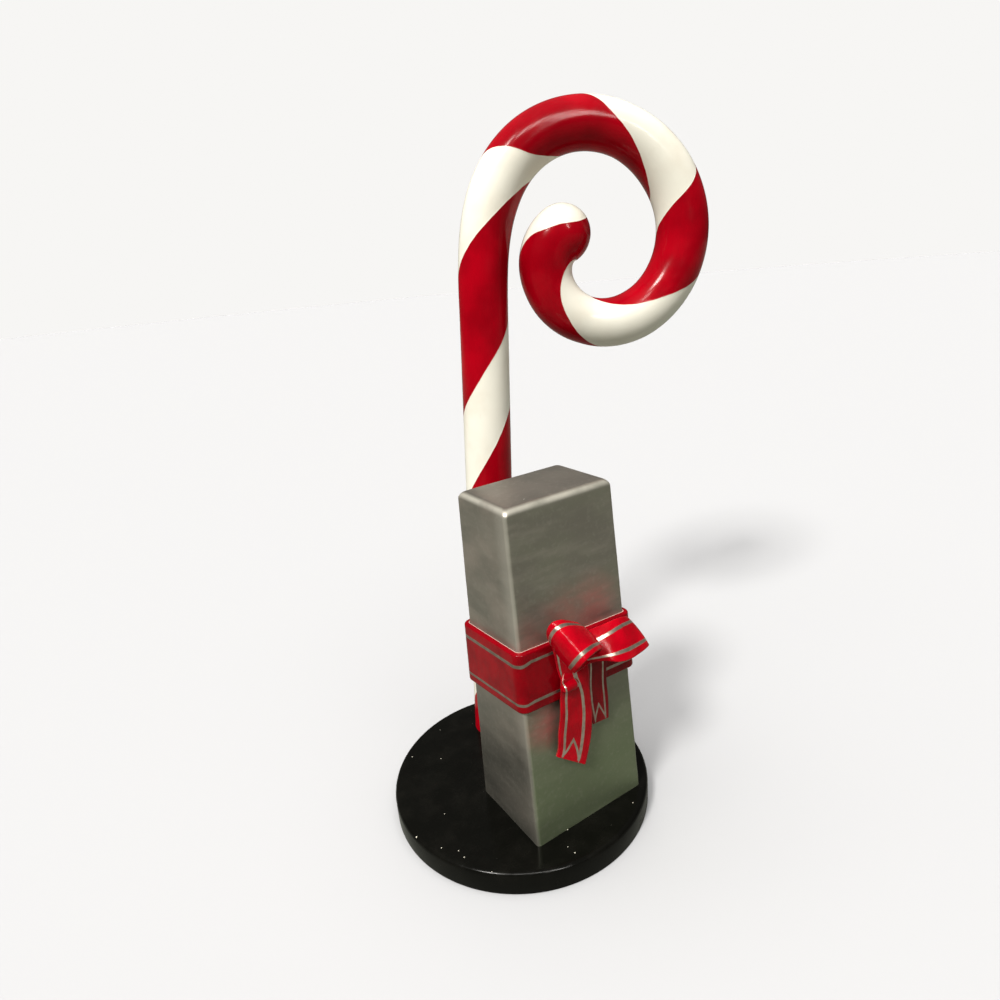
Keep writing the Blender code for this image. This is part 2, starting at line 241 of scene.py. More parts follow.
# Box colours
SILVER = (0.285, 0.250, 0.212)
# Painted shade and reflection: the front face is darker and greener
SILVER_FRONT_SHADE = (0.205, 0.205, 0.158)
# Painted shade: the top face is darker
SILVER_TOP_SHADE = (0.135, 0.128, 0.112)
SILVER_CLOUD = (0.185, 0.175, 0.145)
SILVER_STROKE = (0.30, 0.28, 0.235)
SILVER_GRAIN = (0.42, 0.40, 0.35)
# Painted highlight: a paler strip on the left face, next to its front edge
SILVER_SHEEN = (0.46, 0.44, 0.385)
# Painted highlight: paler colour on the rounded edges
SILVER_EDGE_HIGHLIGHT = (0.68, 0.65, 0.56)
SILVER_SPECK = (0.8, 0.78, 0.7)
# Painted reflection: green low on the front face
GREEN_REFLECTION = (0.145, 0.190, 0.098)
# Painted shade: darker, in patches, low on the left face
SHADE_LOW_LEFT = (0.088, 0.085, 0.072)
# Painted reflection of the red bow on the box's front
RED_REFLECTION = (0.44, 0.155, 0.135)

# Painted reflection of the red bow on the box's front: place, reach and strength of each patch
RED_REFLECTION_SPOTS = (
    ((-0.066, -0.24, 0.385), 0.085, 1.0),
    ((0.095, -0.226, 0.630), 0.115, 0.95),
    ((0.015, -0.226, 0.625), 0.115, 0.8),
    ((-0.080, -0.228, 0.610), 0.095, 0.55),
)

# Painted highlight, a paler strip on the box's left side: where its front edge would be at ground
# level, how far that moves back per metre of height, and the strip's width
SHEEN_STRIP_EDGE = -0.261
SHEEN_STRIP_SLOPE = 0.055
SHEEN_STRIP_WIDTH = 0.052

# Base colours
BLACK = (0.0028, 0.0028, 0.0022)
DUSTY_BLACK = (0.0052, 0.0050, 0.0040)
BASE_SPECK = (0.55, 0.52, 0.44)

# Studio: a light has its direction, its apparent size in degrees and its strength. The streak
# lights shine in the gloss only, and the floor and sky look paler than the light they give.
WARM = (1.0, 0.975, 0.93)
KEY = ((-0.627, -0.266, 0.731), 12.0, 3.1)
OVERHEAD = ((-0.15, -0.12, 1.0), 80.0, 3.4)
STREAK = ((-0.53, -0.24, 0.81), (-0.41, -0.47, 0.78), (-0.28, -0.60, 0.75), (-0.18, -0.73, 0.66),
          (-0.14, -0.84, 0.53), (-0.11, -0.91, 0.40))
STREAK_SIZE = 9.0
STREAK_STRENGTH = 0.6
FLOOR_RADIUS = 40.0
FLOOR_DROP = 0.0005
FLOOR_SIDES = 96
FLOOR_SEEN = (0.445, 0.45, 0.465)
FLOOR_UNSEEN = (0.17, 0.175, 0.155)
SKY_COLOUR = (1.0, 0.99, 0.972, 1.0)
SKY_LOW = 0.11
SKY_HIGH = 0.42
SKY_SEEN = 0.93
SKY_DIM = 0.5

# Camera
CAMERA_PLACE = Vector((-0.8142, -1.3237, 1.4086))
CAMERA_TURN = math.radians(31.9763)
CAMERA_PITCH = math.radians(19.1988)
CAMERA_ROLL = math.radians(-5.0846)
CAMERA_SENSOR = 36.0
CAMERA_LENS = 24.328


def from_bmesh(name, bm, finish, node):
    """Smooth object with its paint, in place of a node of the model."""
    bmesh.ops.remove_doubles(bm, verts=bm.verts, dist=MERGE)
    bmesh.ops.recalc_face_normals(bm, faces=bm.faces)
    mesh = bpy.data.meshes.new(name)
    bm.to_mesh(mesh)
    bm.free()
    mesh.shade_smooth()
    mesh.set_sharp_from_angle(angle=SHARP_ANGLE)
    mesh.materials.append(finish)
    obj = bpy.data.objects.new(name, mesh)
    bpy.context.scene.collection.objects.link(obj)
    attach(obj, "root")
    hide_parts(node)


def grid(bm, rows, uvs=None, wrap_rows=False, wrap_columns=False, uv_name="ribbon"):
    """Quads over rows of points, with a matching grid of texture places.

    A grid that closes on itself has one more row or column of texture places than of points.
    """
    verts = [[bm.verts.new(point) for point in row] for row in rows]
    layer = bm.loops.layers.uv.new(uv_name) if uvs else None
    down = len(rows) - (0 if wrap_rows else 1)
    across = len(rows[0]) - (0 if wrap_columns else 1)
    for i in range(down):
        for j in range(across):
            corners = ((i, j), (i, j + 1), (i + 1, j + 1), (i + 1, j))
            face = bm.faces.new([verts[a % len(rows)][b % len(rows[0])] for a, b in corners])
            if uvs:
                for loop, (a, b) in zip(face.loops, corners):
                    loop[layer].uv = uvs[a][b]
    return verts


def close_ends(bm, verts):
    """Fill the first and the last row of a grid."""
    bm.faces.new(verts[0])
    bm.faces.new(verts[-1])


def quarter_turn(steps):
    """Sine and cosine at even steps over a quarter turn."""
    angles = [math.pi / 2 * k / steps for k in range(steps + 1)]
    return [(math.sin(a), math.cos(a)) for a in angles]


def middle_of(points):
    return sum(points, Vector()) / len(points)


def smooth_line(points, count, closed=False):
    """The given number of points, evenly shared out over a smooth line through the points."""
    total = len(points)
    spans = total if closed else total - 1
    steps = count if closed else count - 1
    made = []
    for k in range(count):
        place = k * spans / steps
        index = min(int(place), spans - 1)
        t = place - index
        around = []
        for at in range(index - 1, index + 3):
            around.append(points[at % total] if closed else points[max(0, min(total - 1, at))])
        p0, p1, p2, p3 = around
        made.append(0.5 * (2 * p1 + (p2 - p0) * t + (2 * p0 - 5 * p1 + 4 * p2 - p3) * t ** 2
                           + (3 * p1 - p0 - 3 * p2 + p3) * t ** 3))
    return made


def between(values, share):
    """Value at a share of the way along evenly spaced values."""
    place = share * (len(values) - 1)
    index = min(int(place), len(values) - 2)
    return values[index] + (values[index + 1] - values[index]) * (place - index)


def line_place(share, lines):
    """Place across a ribbon, stretched so that its two painted lines lie at LINE_PLACES."""
    low, high = lines
    first, second = LINE_PLACES
    if share < low:
        return first * share / low
    if share < high:
        return first + (second - first) * (share - low) / (high - low)
    return second + (1 - second) * (share - high) / (1 - high)


class Nodes:
    """Node tree whose nodes are made by short calls."""

    def __init__(self, tree):
        self.tree = tree

    def put(self, target, value):
        """Link a node's output to an input, or set the input's value."""
        if isinstance(value, bpy.types.NodeSocket):
            self.tree.links.new(value, target)
        else:
            target.default_value = value

    def node(self, kind, inputs, **settings):
        made = self.tree.nodes.new(kind)
        for key, value in settings.items():
            setattr(made, key, value)
        for key, value in inputs.items():
            self.put(made.inputs[key], value)
        return made

    def math(self, operation, *values):
        return self.node("ShaderNodeMath", dict(enumerate(values)), operation=operation).outputs[0]

    def times(self, first, second):
        return self.math("MULTIPLY", first, second)

    def minus(self, first, second):
        return self.math("SUBTRACT", first, second)

    def apart(self, first, second):
        """How far two values are from each other."""
        return self.math("ABSOLUTE", self.minus(first, second))

    def parts(self, vector):
        return self.node("ShaderNodeSeparateXYZ", {0: vector}).outputs


class Shader(Nodes):
    """Material whose nodes are made by short calls."""

    def __init__(self, name, roughness, metallic=0.0, coat=0.0, coat_roughness=0.1, specular=0.5):
        self.material = bpy.data.materials.new(name)
        self.material.use_nodes = True
        super().__init__(self.material.node_tree)
        self.surface = self.tree.nodes["Principled BSDF"]
        self.set("Roughness", roughness)
        self.set("Metallic", metallic)
        self.set("Coat Weight", coat)
        self.set("Coat Roughness", coat_roughness)
        self.set("Specular IOR Level", specular)

    def set(self, name, value):
        self.put(self.surface.inputs[name], value)

    def place(self):
        """Place on the object, in metres."""
        return self.node("ShaderNodeTexCoord", {}).outputs["Object"]

    def stretched(self, scale, turn=(0.0, 0.0, 0.0)):
        inputs = {"Vector": self.place(), "Scale": scale, "Rotation": turn}
        return self.node("ShaderNodeMapping", inputs).outputs[0]

    def uv(self, name):
        return self.parts(self.node("ShaderNodeUVMap", {}, uv_map=name).outputs[0])

    def noise(self, vector, scale, detail=3.0, roughness=0.5):
        inputs = {"Vector": vector, "Scale": scale, "Detail": detail, "Roughness": roughness}
        return self.node("ShaderNodeTexNoise", inputs).outputs[0]

    def ramp(self, value, low, high, out_low=0.0, out_high=1.0):
        """A value carried smoothly from one range to another, and held at its ends."""
        inputs = {"Value": value, "From Min": low, "From Max": high,
                  "To Min": out_low, "To Max": out_high}
        return self.node("ShaderNodeMapRange", inputs, interpolation_type="SMOOTHSTEP").outputs[0]

    def wobble(self, vector, scale, reach):
        """Small sway to both sides, such as a hand's along a painted line."""
        return self.times(self.minus(self.noise(vector, scale, 2.0), 0.5), reach)

    def near(self, spot, reach):
        """1 at a spot on the object, falling smoothly to 0 at a distance from it."""
        away = self.node("ShaderNodeVectorMath", {0: self.place(), 1: spot}, operation="DISTANCE")
        return self.ramp(away.outputs["Value"], 0.0, reach, 1.0, 0.0)

    def specks(self, scale, rarity, size, dimensions="3D"):
        """1 on scattered specks of uneven size, and 0 elsewhere."""
        cells = self.node("ShaderNodeTexVoronoi", {"Vector": self.place(), "Scale": scale},
                          voronoi_dimensions=dimensions)
        chance = self.parts(cells.outputs["Color"])
        inside = self.math("LESS_THAN", cells.outputs["Distance"], self.times(chance[1], size))
        return self.times(inside, self.math("GREATER_THAN", chance[0], rarity))

    def mix(self, share, first, second):
        made = self.node("ShaderNodeMix", {0: share}, data_type="RGBA")
        for socket, value in ((made.inputs[6], first), (made.inputs[7], second)):
            self.put(socket, (*value, 1.0) if isinstance(value, tuple) else value)
        return made.outputs[2]

    def bump(self, height, strength, distance, normal=None):
        inputs = {"Height": height, "Strength": strength, "Distance": distance}
        if normal:
            inputs["Normal"] = normal
        return self.node("ShaderNodeBump", inputs).outputs[0]


def shaded(colour, tone):
    """A colour made lighter or darker."""
    return tuple(channel * tone for channel in colour)


def cane_paint():
    """Gloss red and cream, meeting along a fine brushed line."""
    s = Shader("cane_paint", 0.26, coat=0.06, coat_roughness=0.08, specular=0.09)
    grain = s.place()
    width = s.uv("stripe_width")[0]
    across = s.math("FRACT", s.math("ADD", s.uv("stripe")[0], s.wobble(grain, 45.0, 0.006)))
    from_start = s.math("MINIMUM", across, s.minus(1.0, across))
    edge = s.math("MINIMUM", from_start, s.apart(across, width))
    red_side = s.math("LESS_THAN", across, width)
    side = s.minus(s.times(red_side, 2.0), 1.0)
    red_share = s.ramp(s.times(edge, side), -EDGE_SOFT, EDGE_SOFT)
    mottle = s.noise(grain, 9.0, 4.0)
    red = s.mix(s.ramp(mottle, 0.35, 0.7), RED, DEEP_RED)
    cream = s.mix(s.ramp(mottle, 0.45, 0.75), CREAM, DULL_CREAM)
    streaks = s.noise(s.stretched((60.0, 60.0, 7.0)), 3.0, 5.0, 0.7)
    cream = s.mix(s.ramp(streaks, 0.63, 0.74, 0.0, 0.25), cream, CREAM_STREAK)
    rim = s.times(s.ramp(edge, 0.0, EDGE_RIM, 0.55, 0.0), s.minus(1.0, red_side))
    s.set("Base Color", s.mix(rim, s.mix(red_share, cream, red), STRIPE_RIM))
    s.set("Roughness", s.ramp(s.noise(grain, 26.0, 3.0), 0.3, 0.7, 0.14, 0.23))
    ridge = s.bump(s.ramp(edge, 0.0, EDGE_RIDGE, 1.0, 0.0), 0.35, 0.0012)
    waves = s.bump(s.noise(grain, 12.0, 2.0), 0.25, 0.004, ridge)
    s.set("Normal", s.bump(s.noise(grain, 160.0, 3.0), 0.05, 0.001, waves))
    return s.material


def ribbon_paint(name, line_half, tone, line_tone=1.0):
    """Gloss red with two silver lines, which end in a zigzag at a tail's end.

    The tones paint light and shade, making the red and lines lighter or darker; the band's pale bead is a
    painted highlight.
    """
    s = Shader(name, 0.2, coat=0.06, coat_roughness=0.07, specular=0.09)
    across, along = s.uv("ribbon")[:2]
    grain = s.place()
    from_middle = s.apart(across, 0.5)
    line_from_middle = (LINE_PLACES[1] - LINE_PLACES[0]) / 2
    off_line = s.math("ADD", s.minus(from_middle, line_from_middle),
                      s.wobble(grain, 60.0, 0.4 * line_half))
    line = s.ramp(s.math("ABSOLUTE", off_line), 0.85 * line_half, 1.15 * line_half, 1.0, 0.0)
    line = s.times(line, s.math("GREATER_THAN", along, 0.004))
    peak_place = s.minus(PEAK_HEIGHT, s.times(from_middle, PEAK_DROP))
    peak = s.ramp(s.apart(along, peak_place), *PEAK_LINE, 1.0, 0.0)
    peak = s.times(peak, s.math("LESS_THAN", from_middle, PEAK_REACH))
    silver = s.math("MAXIMUM", line, peak)
    red = s.mix(s.ramp(s.noise(grain, 20.0, 4.0), 0.35, 0.7), shaded(RED, tone), shaded(DEEP_RED, tone))
    metal = s.mix(s.ramp(s.noise(grain, 70.0, 3.0), 0.3, 0.7),
                  shaded(SILVER_LINE, line_tone), shaded(PALE_LINE, line_tone))
    # Painted highlight: a pale bead along the band's top inner edge
    bead_highlight = s.ramp(along, HIGHLIGHT_FROM, HIGHLIGHT_FULL, 0.0, 0.8)
    s.set("Base Color", s.mix(bead_highlight, s.mix(silver, red, metal), BEAD_HIGHLIGHT))
    s.set("Metallic", s.times(silver, 0.9))
    s.set("Roughness", s.ramp(silver, 0.0, 1.0, 0.2, 0.34))
    raised = s.bump(silver, 0.3, 0.0006)
    waves = s.bump(s.noise(grain, 38.0, 3.0), 0.35, 0.003, raised)
    s.set("Normal", s.bump(s.noise(grain, 200.0, 2.0), 0.06, 0.001, waves))
    return s.material


def silver_tone(s, strokes, height, front, left, top):
    """Cloudy silver with painted shade and reflection: darker and greener on the front, greenish low on
    the front, darker low on the left in patches, a paler strip of painted highlight on the left, and
    darker on the top.
    """
    clouds = s.noise(s.stretched((6.0, 6.0, 9.0)), 1.0, 4.0, 0.55)
    # Painted shade: darker patches low on the left face
    shade_noise = s.noise(s.stretched((3.5, 3.5, 8.0), (0.3, 0.6, 0.0)), 1.0, 2.5, 0.45)
    left_shade = s.times(s.ramp(height, 0.26, 0.47, 1.0, 0.0), s.ramp(shade_noise, 0.3, 0.7, 0.95, 0.35))
    # Painted highlight: a paler strip on the left face, next to its front edge
    depth = s.parts(s.place())[1]
    behind = s.minus(depth, s.times(height, SHEEN_STRIP_SLOPE))
    strip = s.ramp(behind, SHEEN_STRIP_EDGE, SHEEN_STRIP_EDGE + SHEEN_STRIP_WIDTH, 0.5, 0.0)
    strip = s.times(strip, s.ramp(height, 0.15, 0.6, 0.3, 1.0))
    # Painted shade and reflection: the front face is darker and greener
    colour = s.mix(front, SILVER, SILVER_FRONT_SHADE)
    colour = s.mix(s.ramp(clouds, 0.32, 0.70), colour, SILVER_CLOUD)
    colour = s.mix(s.ramp(strokes, 0.40, 0.70, 0.0, 0.4), colour, SILVER_STROKE)
    # Painted reflection: green, low on the front face
    colour = s.mix(s.times(s.ramp(height, 0.18, 0.54, 0.75, 0.0), front), colour, GREEN_REFLECTION)
    # Painted shade: darker patches low on the left face
    colour = s.mix(s.times(left_shade, left), colour, SHADE_LOW_LEFT)
    # Painted highlight: the paler strip on the left face
    colour = s.mix(s.times(strip, left), colour, SILVER_SHEEN)
    # Painted shade: darker on the top face
    return s.mix(s.ramp(top, 0.90, 0.995, 0.0, 0.6), colour, SILVER_TOP_SHADE)


def red_reflection_share(s, strokes, front):
    """Patchy painted reflection of the red bow on the box's front, above and below the ribbon."""
    reflection = 0.0
    for spot, reach, strength in RED_REFLECTION_SPOTS:
        reflection = s.math("MAXIMUM", reflection, s.times(s.near(spot, reach), strength))
    patches = s.ramp(s.noise(s.place(), 14.0, 4.0, 0.6), 0.25, 0.65, 0.5, 1.0)
    patchy = s.times(patches, s.ramp(strokes, 0.35, 0.65, 0.6, 1.0))
    return s.times(s.times(reflection, front), patchy)


def edge_highlight_share(s, height, facing):
    """Painted highlight on the rounded top edges, and less of it on the upright ones."""
    rounded = s.times(s.ramp(facing[2], 0.12, 0.65), s.ramp(facing[2], 0.74, 0.995, 1.0, 0.0))
    upright = s.ramp(s.math("ABSOLUTE", s.times(facing[0], facing[1])), 0.12, 0.42)
    upright = s.times(upright, s.ramp(height, 0.1, 0.6, 0.35, 1.0))
    edge_highlight = s.math("MAXIMUM", s.times(rounded, 0.85), s.times(upright, 0.22))
    return s.times(edge_highlight, s.ramp(s.noise(s.place(), 13.0, 4.0), 0.3, 0.65, 0.45, 1.0))


def silver_paint():
    """Satin silver put on by hand: cloudy, with soft slanting strokes, painted red reflection on the front
    and paler edges that are painted highlight.
    """
    s = Shader("silver_paint", 0.4, metallic=0.6, specular=0.3)
    strokes = s.noise(s.stretched((5.0, 5.0, 22.0), (0.0, 0.35, 0.2)), 1.6, 5.0, 0.6)
    facing = s.parts(s.node("ShaderNodeNewGeometry", {}).outputs["Normal"])
    height = s.parts(s.place())[2]
    front = s.ramp(s.times(facing[1], -1.0), 0.2, 0.8)
    left = s.ramp(s.times(facing[0], -1.0), 0.2, 0.8)
    fine = s.noise(s.place(), 90.0, 3.0)
    colour = silver_tone(s, strokes, height, front, left, facing[2])
    # Painted reflection of the red bow on the box's front
    colour = s.mix(red_reflection_share(s, strokes, front), colour, RED_REFLECTION)
    # Painted highlight on the rounded edges
    colour = s.mix(edge_highlight_share(s, height, facing), colour, SILVER_EDGE_HIGHLIGHT)
    colour = s.mix(s.ramp(fine, 0.5, 0.75, 0.0, 0.12), colour, SILVER_GRAIN)
    s.set("Base Color", s.mix(s.specks(24.0, 0.95, 0.08), colour, SILVER_SPECK))
    s.set("Roughness", s.ramp(strokes, 0.3, 0.7, 0.34, 0.46))
    s.set("Normal", s.bump(fine, 0.05, 0.001, s.bump(strokes, 0.10, 0.002)))
    return s.material


def black_paint():
    """Gloss black with faint scuffs, dust and a few pale specks."""
    s = Shader("black_paint", 0.2, specular=0.1)
    grain = s.place()
    colour = s.mix(s.ramp(s.noise(grain, 14.0, 5.0, 0.65), 0.4, 0.75), BLACK, DUSTY_BLACK)
    speck = s.specks(32.0, 0.9, 0.06, "2D")
    s.set("Base Color", s.mix(speck, colour, BASE_SPECK))
    scuffs = s.noise(s.stretched((4.0, 18.0, 4.0), (0.0, 0.0, 0.6)), 4.0, 6.0, 0.7)
    rough = s.ramp(scuffs, 0.45, 0.75, 0.15, 0.34)
    s.set("Roughness", s.math("MAXIMUM", rough, s.times(speck, 0.7)))
    s.set("Normal", s.bump(s.noise(grain, 30.0, 3.0), 0.08, 0.001))
    return s.material


def make_base(finish):
    """Turned disc with a rounded top rim and a slight round at its foot."""
    profile = [(BASE_RADIUS - BASE_FOOT_ROUND * (1 - sine), BASE_FOOT_ROUND * (1 - cosine))
               for sine, cosine in quarter_turn(BASE_FOOT_STEPS)]
    profile += [(BASE_RADIUS - BASE_TOP_ROUND * (1 - cosine), BASE_THICKNESS - BASE_TOP_ROUND * (1 - sine))
                for sine, cosine in quarter_turn(BASE_TOP_STEPS)]
    profile += [(BASE_RADIUS * share, BASE_THICKNESS) for share in BASE_TOP_RINGS]
    turns = [math.tau * k / BASE_SIDES for k in range(BASE_SIDES)]
    rows = [[Vector((radius * math.cos(a), radius * math.sin(a), z)) for a in turns]
            for radius, z in profile]
    bm = bmesh.new()
    close_ends(bm, grid(bm, rows, wrap_columns=True))
    from_bmesh("round_base", bm, finish, "base_disc")


def box_section(z):
    """Centre and half size of the box at a height."""
    share = (z - BASE_THICKNESS) / BOX_HEIGHT
    return BOX_FOOT_CENTRE.lerp(BOX_TOP_CENTRE, share), BOX_FOOT_HALF.lerp(BOX_TOP_HALF, share)


def front_face_point(place):
    """Place in space of (x, z, distance out of the box's front face)."""
    x, z, out = place
    centre, half = box_section(z)
    foot_y = BOX_FOOT_CENTRE.y - BOX_FOOT_HALF.y
    top_y = BOX_TOP_CENTRE.y - BOX_TOP_HALF.y
    slope = math.hypot(BOX_HEIGHT, top_y - foot_y) / BOX_HEIGHT
    return Vector((x, centre.y - half.y - out * slope, z))


def rounded_outline(centre, half, radius, corner_steps, side_steps):
    """Points round a rectangle with rounded corners, from its front left corner."""
    corners = [Vector((centre.x + sx * (half.x - radius), centre.y + sy * (half.y - radius)))
               for sx, sy in ((-1, -1), (1, -1), (1, 1), (-1, 1))]

    def corner_point(index, share):
        a = math.pi + math.pi / 2 * (index + share)
        return corners[index % 4] + radius * Vector((math.cos(a), math.sin(a)))

    points = []
    for index in range(4):
        arc = [corner_point(index, k / corner_steps) for k in range(corner_steps + 1)]
        following = corner_point(index + 1, 0.0)
        points += arc + [arc[-1].lerp(following, k / side_steps) for k in range(1, side_steps)]
    return points


def make_box(finish):
    """Tall box with rounded edges and slightly uneven, hand-finished faces."""
    foot = BASE_THICKNESS + GAP
    shoulder = BASE_THICKNESS + BOX_HEIGHT - BOX_TOP_ROUND
    rings = [(foot + (shoulder - foot) * k / BOX_RINGS, 0.0) for k in range(BOX_RINGS + 1)]
    rings += [(shoulder + BOX_TOP_ROUND * sine, BOX_TOP_ROUND * (1 - cosine))
              for sine, cosine in quarter_turn(BOX_ROUND_STEPS)[1:]]
    rows = []
    for z, pull in rings:
        centre, half = box_section(z)
        ring = []
        for p in rounded_outline(centre, half - Vector((pull, pull)), BOX_CORNER_ROUND,
                                 BOX_CORNER_STEPS, BOX_SIDE_STEPS):
            place = Vector((p.x, p.y, z))
            sway = sum(share * noise.noise(place * fineness) for fineness, share in BOX_WAVES)
            away = (p - centre).normalized().to_3d()
            ring.append(place - away * BOX_UNEVEN * (0.5 + 0.5 * sway))
        rows.append(ring)
    lid = rows[-1]
    middle = middle_of(lid)
    rows += [[middle.lerp(p, share) for p in lid] for share in BOX_LID_RINGS]
    bm = bmesh.new()
    close_ends(bm, grid(bm, rows, wrap_columns=True))
    from_bmesh("silver_box", bm, finish, "gift_box")


def band_lines(x):
    """Shares down the band of its two lines, which sit a little higher past the left side."""
    centre, half = box_section(BAND_TOP)
    from_left = x - (centre.x - half.x)
    share = max(0.0, min(1.0, from_left / (BOX_CORNER_ROUND + BAND_THICKNESS)))
    return [a + (b - a) * share for a, b in zip(BAND_LEFT_LINES, BAND_FRONT_LINES)]


def band_profile():
    """Distance out of the box, distance in from the nearer edge, and share down the band."""
    rim = [(BAND_THICKNESS - BAND_ROUND * (1 - sine), BAND_ROUND * (1 - cosine))
           for sine, cosine in quarter_turn(BAND_ROUND_STEPS)]
    profile = [(BAND_BACK, 0.0, 0.0)]
    profile += [(out, inset, 0.0) for out, inset in rim]
    profile += [(BAND_THICKNESS, BAND_ROUND, k / BAND_FACE_STEPS) for k in range(1, BAND_FACE_STEPS)]
    profile += [(out, inset, 1.0) for out, inset in reversed(rim)]
    return profile + [(BAND_BACK, 0.0, 1.0)]


def band_outline(z, out):
    """Points round the box at a height and at a distance out of its faces."""
    centre, half = box_section(z)
    return rounded_outline(centre, half + Vector((out, out)), BOX_CORNER_ROUND + out,
                           BAND_CORNER_STEPS, BAND_SIDE_STEPS)


def make_band(finish):
    """Ribbon ring: its profile is carried round the box's own outline."""
    centre, half = box_section(BAND_TOP)
    front_left = centre - half
    rows, uvs = [], []
    for index in range(len(band_outline(BAND_TOP, 0.0))):
        row, marks = [], []
        for out, inset, share in band_profile():
            z = BAND_BOTTOM + (BAND_TOP - BAND_BOTTOM) * (1 - share)
            # The box tapers, so a place on it and its height depend on each other. Two rounds
            # settle both.
            for _ in range(2):
                reach = band_outline(z, 0.0)[index] - front_left
                upper = BAND_TOP - reach.dot(BAND_TOP_DROP)
                lower = BAND_BOTTOM - reach.dot(BAND_BOTTOM_DROP)
                z = upper - inset + (lower - upper + 2 * inset) * share
            place = band_outline(z, out)[index]
            row.append(place.to_3d() + Vector((0.0, 0.0, z)))
            marks.append((line_place((upper - z) / (upper - lower), band_lines(place.x)), PLAIN_RIBBON))
        # The top inner edge carries the place of the painted highlight bead
        marks[0] = (marks[0][0], HIGHLIGHT_BEAD)
        rows.append(row + [row[0].copy()])
        uvs.append(marks + [marks[0]])
    uvs.append(uvs[0])
    bm = bmesh.new()
    grid(bm, rows, uvs, wrap_rows=True)
    from_bmesh("ribbon_round_box", bm, finish, "ribbon_band")


def make_loop(name, stations, lines, finish):
    """Open ribbon loop with a wall of even thickness and rounded rims."""
    inner = smooth_line([front_face_point(pair[0]) for pair in stations], LOOP_AROUND, closed=True)
    outer = smooth_line([front_face_point(pair[1]) for pair in stations], LOOP_AROUND, closed=True)
    line_shares = smooth_line([Vector(pair) for pair in lines], LOOP_AROUND, closed=True)

    def surface(share, depth):
        """Ring of points at a share across the ribbon and a depth in its wall."""
        ring = [a.lerp(b, share) for a, b in zip(inner, outer)]
        middle = middle_of(ring)
        crown = LOOP_CROWN * (1 - (2 * share - 1) ** 2)
        made = []
        for k, p in enumerate(ring):
            tangent = ring[(k + 1) % len(ring)] - ring[k - 1]
            normal = tangent.cross(outer[k] - inner[k]).normalized()
            if normal.dot(p - middle) < 0:
                normal = -normal
            room = (p - middle).length * LOOP_WALL_LIMIT
            made.append(p + (p - middle).normalized() * crown - normal * min(depth, room))
        return made

    half = LOOP_WALL / 2
    width = (middle_of(outer) - middle_of(inner)).length
    margin = LOOP_BULGE * half / width
    shares = [margin + (1 - 2 * margin - LOOP_TRIM) * k / LOOP_ACROSS for k in range(LOOP_ACROSS + 1)]
    turns = [math.pi * k / LOOP_RIM_STEPS for k in range(1, LOOP_RIM_STEPS)]
    rim = [(margin * math.sin(a), math.cos(a)) for a in turns]
    section = [(share, 0.0) for share in shares]
    section += [(shares[-1] + reach, half * (1 - turn)) for reach, turn in rim]
    section += [(share, LOOP_WALL) for share in reversed(shares)]
    section += [(shares[0] - reach, half * (1 + turn)) for reach, turn in rim]
    rows = [surface(share, depth) for share, depth in section]
    uvs = []
    for share, depth in section + section[:1]:
        places = [line_place(share, pair) if depth < half else BACK_PLACE for pair in line_shares]
        uvs.append([(place, PLAIN_RIBBON) for place in places + places[:1]])
    bm = bmesh.new()
    grid(bm, rows, uvs, wrap_rows=True, wrap_columns=True)
    from_bmesh(name, bm, finish, "bow")


def strip_section():
    """Share across a straight ribbon and height of its face, with a lip along each side."""
    section = [(0.0, STRIP_EDGE)]
    for k in range(1, STRIP_ACROSS):
        share = k / STRIP_ACROSS
        lip = max(0.0, 1 - min(share, 1 - share) / STRIP_LIP_SHARE)
        section.append((share, STRIP_HOLLOW * (1 - lip)))
    return section + [(1.0, STRIP_EDGE)]


def make_strip(name, stations, lines, finish, tail_end=False):
    """Flat ribbon with a raised lip along each side and eased edges."""
    count = STRIP_STATION_STEPS * (len(stations) - 1) + 1
    lefts = smooth_line([front_face_point(pair[0]) for pair in stations], count)
    rights = smooth_line([front_face_point(pair[1]) for pair in stations], count)
    line_shares = smooth_line([Vector(pair) for pair in lines], count)
    doubled = [left + right for left, right in zip(lefts, rights)]
    lengths = [0.0]
    for before, after in zip(doubled, doubled[1:]):
        lengths.append(lengths[-1] + (after - before).length / 2)
    rows, uvs = [], []
    for k, (left, right) in enumerate(zip(lefts, rights)):
        down = doubled[min(k + 1, count - 1)] - doubled[max(k - 1, 0)]
        across = (right - left).normalized()
        out = across.cross(down).normalized()
        if out.y > 0:
            out = -out
        along = lengths[-1] - lengths[k] if tail_end else PLAIN_RIBBON + lengths[k]
        row, marks = [], []
        for share, lift in strip_section():
            row.append(left.lerp(right, share) + out * lift * STRIP_LIP)
            marks.append((line_place(share, line_shares[k]), along))
        for share, inset in ((1.0, -STRIP_BACK_INSET), (0.5, 0.0), (0.0, STRIP_BACK_INSET)):
            row.append(left.lerp(right, share) + across * inset - out * STRIP_THICKNESS)
            marks.append((BACK_PLACE, PLAIN_RIBBON))
        rows.append(row + [row[0].copy()])
        uvs.append(marks + [marks[0]])
    bm = bmesh.new()
    verts = grid(bm, rows, uvs)
    close_ends(bm, [row[:-1] for row in verts])
    from_bmesh(name, bm, finish, "bow")


